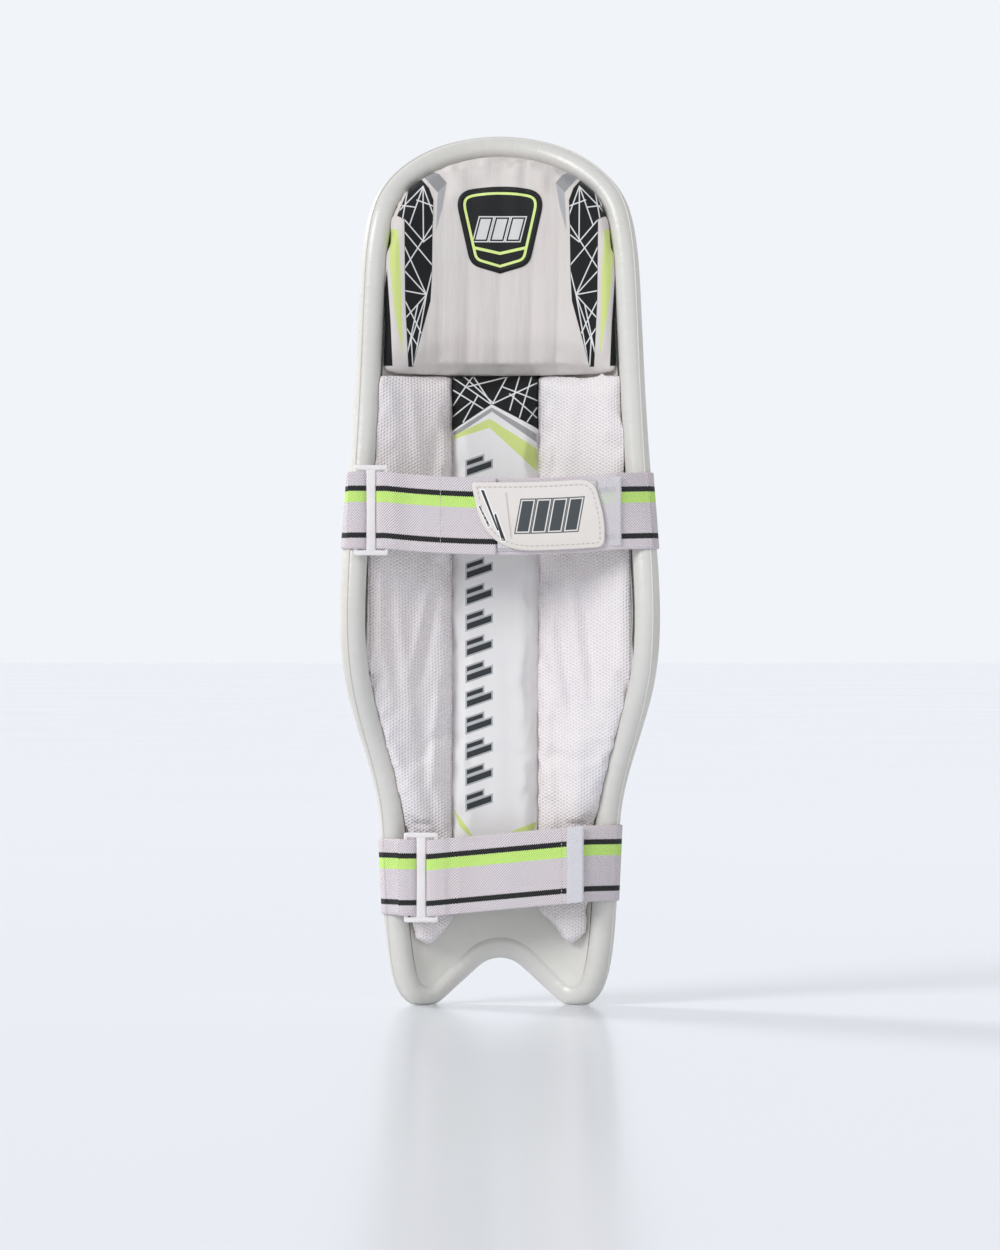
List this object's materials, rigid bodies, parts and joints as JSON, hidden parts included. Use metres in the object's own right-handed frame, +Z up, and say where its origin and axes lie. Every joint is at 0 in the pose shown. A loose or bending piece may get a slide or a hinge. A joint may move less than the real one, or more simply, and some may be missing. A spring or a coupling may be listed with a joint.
{
  "type": "cricket leg pad",
  "caption": "Cricket leg pad: fluted shin guard with padded knee rolls and arched top, cushioned lining, padded edge roll, two webbing straps with rings and hook-and-loop ends.",
  "frame": {"origin": "middle of the footprint, on the surface that the two lower lobes stand on", "axes": "+Z up along the shin, +Y towards the strike face, -Y towards the wearer's calf, +X towards the inner side of a left leg"},
  "size_m": [0.2581, 0.1226, 0.711],
  "materials": {
    "face_pu": "pearl white coated fabric with a fine emboss",
    "edge_pu": "smooth satin white coated fabric",
    "lining_fabric": "smooth off-white lining",
    "mesh_fabric": "white honeycomb mesh",
    "print_fabric": "white satin printed in black, grey and pale green",
    "foam": "soft foam and fibre filling",
    "board_foam": "dense closed-cell foam board",
    "cane": "natural cane",
    "webbing": "white twill elastic webbing with black and bright green stripes",
    "ring_plastic": "white moulded plastic",
    "tab_pu": "white coated fabric, stitched",
    "tape": "translucent white hook-and-loop tape",
    "badge_rubber": "black moulded badge with green outline"
  },
  "bodies": {
    "shin_section": {"shin_lining": "lining_fabric", "shin_foam_board": "board_foam", "shin_canes": "cane", "shin_wadding": "foam", "shin_face_cover": "face_pu", "shin_edge_cover": "edge_pu", "shin_edge_cord": "foam", "lower_knee_roll_cover": "face_pu", "lower_knee_roll_filling": "foam", "left_bolster_cover": "mesh_fabric", "left_bolster_foam": "foam", "centre_bolster_cover": "print_fabric", "centre_bolster_foam": "foam", "right_bolster_cover": "mesh_fabric", "right_bolster_foam": "foam", "calf_ring_loop": "webbing", "calf_strap": "webbing", "ankle_ring_loop": "webbing", "ankle_strap": "webbing", "calf_loop_tape": "tape", "ankle_loop_tape": "tape"},
    "knee_section": {"knee_lining": "lining_fabric", "knee_foam_board": "board_foam", "knee_edge_cover": "edge_pu", "knee_edge_cord": "foam", "middle_knee_roll_cover": "face_pu", "middle_knee_roll_filling": "foam", "knee_bolster_segments": "mesh_fabric"},
    "top_section": {"top_lining": "lining_fabric", "top_foam_board": "board_foam", "top_canes": "cane", "top_wadding": "foam", "top_face_cover": "face_pu", "top_edge_cover": "edge_pu", "top_edge_cord": "foam", "upper_knee_roll_cover": "face_pu", "upper_knee_roll_filling": "foam", "upper_bolster_ends": "mesh_fabric", "knee_cushion_cover": "print_fabric", "knee_cushion_foam": "foam", "knee_badge": "badge_rubber"},
    "calf_ring_body": {"calf_ring": "ring_plastic"},
    "calf_flap": {"calf_fold": "webbing", "calf_hook_tape": "tape", "calf_pull_tab": "tab_pu"},
    "ankle_ring_body": {"ankle_ring": "ring_plastic"},
    "ankle_flap": {"ankle_fold": "webbing", "ankle_hook_tape": "tape", "ankle_end_band": "tape"}
  },
  "joints": [
    {"name": "lower_knee_fold", "type": "hinge", "parent": "shin_section", "child": "knee_section", "pos_m": [0, 0.01427, 0.47], "axis": [1, 0, 0], "range_deg": [0, 12], "stiffness_Nm_per_rad": 4, "springref_deg": -4.58},
    {"name": "upper_knee_fold", "type": "hinge", "parent": "knee_section", "child": "top_section", "pos_m": [0, 0.01427, 0.5], "axis": [1, 0, 0], "range_deg": [0, 12], "stiffness_Nm_per_rad": 4, "springref_deg": -4.58},
    {"name": "calf_ring_swing", "type": "hinge", "parent": "shin_section", "child": "calf_ring_body", "pos_m": [-0.1164, -0.05772, 0.403], "axis": [0, 0, -1], "range_deg": [0, 20]},
    {"name": "calf_strap_peel", "type": "hinge", "parent": "calf_ring_body", "child": "calf_flap", "pos_m": [-0.0916, -0.05772, 0.403], "axis": [0, 0, -1], "range_deg": [0, 140]},
    {"name": "ankle_ring_swing", "type": "hinge", "parent": "shin_section", "child": "ankle_ring_body", "pos_m": [-0.0764, -0.02272, 0.1055], "axis": [0, 0, -1], "range_deg": [0, 20]},
    {"name": "ankle_strap_peel", "type": "hinge", "parent": "ankle_ring_body", "child": "ankle_flap", "pos_m": [-0.0516, -0.02272, 0.1055], "axis": [0, 0, -1], "range_deg": [0, 140]}
  ],
  "couplings": [
    {"joint": "lower_knee_fold", "follows": "upper_knee_fold", "ratio": 1}
  ]
}
